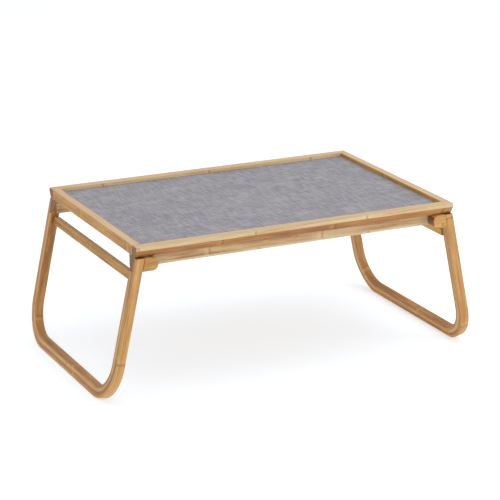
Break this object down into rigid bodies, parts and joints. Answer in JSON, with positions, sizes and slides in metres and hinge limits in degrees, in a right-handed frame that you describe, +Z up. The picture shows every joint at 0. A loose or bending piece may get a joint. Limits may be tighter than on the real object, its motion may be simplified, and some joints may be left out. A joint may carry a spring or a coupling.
{
  "type": "folding tray table",
  "caption": "Bamboo bed tray table with a rim round a recessed linen-look panel, on splayed U-shaped leg frames that fold flat underneath.",
  "frame": {"origin": "middle of the overall footprint, on the surface that the table stands on", "axes": "+X along the tray, towards the right leg frame; +Y towards the back rail; +Z up"},
  "size_m": [0.683, 0.39, 0.265],
  "materials": {
    "bamboo": "clear satin lacquer",
    "bent_bamboo": "clear satin lacquer",
    "linen_laminate": "grey linen-look laminate, satin",
    "fibreboard": "raw fibreboard",
    "beech_dowel": "raw beech",
    "zinc_plated_steel": "bright zinc plate",
    "brass": "plain turned brass",
    "nylon": "natural nylon"
  },
  "bodies": {
    "tray": {"front_rail": "bamboo", "back_rail": "bamboo", "left_rail": "bamboo", "right_rail": "bamboo", "front_apron": "bamboo", "back_apron": "bamboo", "panel_board": "fibreboard", "linen_top_sheet": "linen_laminate", "corner_dowel_front_left": "beech_dowel", "apron_screw_front_left": "zinc_plated_steel", "head_washer_front_left": "zinc_plated_steel", "spacer_washer_front_left": "nylon", "corner_dowel_back_left": "beech_dowel", "apron_screw_back_left": "zinc_plated_steel", "head_washer_back_left": "zinc_plated_steel", "spacer_washer_back_left": "nylon", "corner_dowel_front_right": "beech_dowel", "apron_screw_front_right": "zinc_plated_steel", "head_washer_front_right": "zinc_plated_steel", "spacer_washer_front_right": "nylon", "corner_dowel_back_right": "beech_dowel", "apron_screw_back_right": "zinc_plated_steel", "head_washer_back_right": "zinc_plated_steel", "spacer_washer_back_right": "nylon"},
    "left_legs": {"left_leg_frame": "bent_bamboo", "left_crossbar": "bamboo", "crossbar_dowel_front_left": "beech_dowel", "pivot_block_front_left": "bamboo", "lap_screw_front_left": "zinc_plated_steel", "pivot_bolt_front_left": "zinc_plated_steel", "pivot_insert_front_left": "brass", "crossbar_dowel_back_left": "beech_dowel", "pivot_block_back_left": "bamboo", "lap_screw_back_left": "zinc_plated_steel", "pivot_bolt_back_left": "zinc_plated_steel", "pivot_insert_back_left": "brass"},
    "right_legs": {"right_leg_frame": "bent_bamboo", "right_crossbar": "bamboo", "crossbar_dowel_front_right": "beech_dowel", "pivot_block_front_right": "bamboo", "lap_screw_front_right": "zinc_plated_steel", "pivot_bolt_front_right": "zinc_plated_steel", "pivot_insert_front_right": "brass", "crossbar_dowel_back_right": "beech_dowel", "pivot_block_back_right": "bamboo", "lap_screw_back_right": "zinc_plated_steel", "pivot_bolt_back_right": "zinc_plated_steel", "pivot_insert_back_right": "brass"}
  },
  "joints": [
    {"name": "left_fold", "type": "hinge", "parent": "tray", "child": "left_legs", "pos_m": [-0.26158, 0, 0.2347], "axis": [0, -1, 0], "range_deg": [0, 102]},
    {"name": "right_fold", "type": "hinge", "parent": "tray", "child": "right_legs", "pos_m": [0.26158, 0, 0.2347], "axis": [0, 1, 0], "range_deg": [0, 102]}
  ]
}
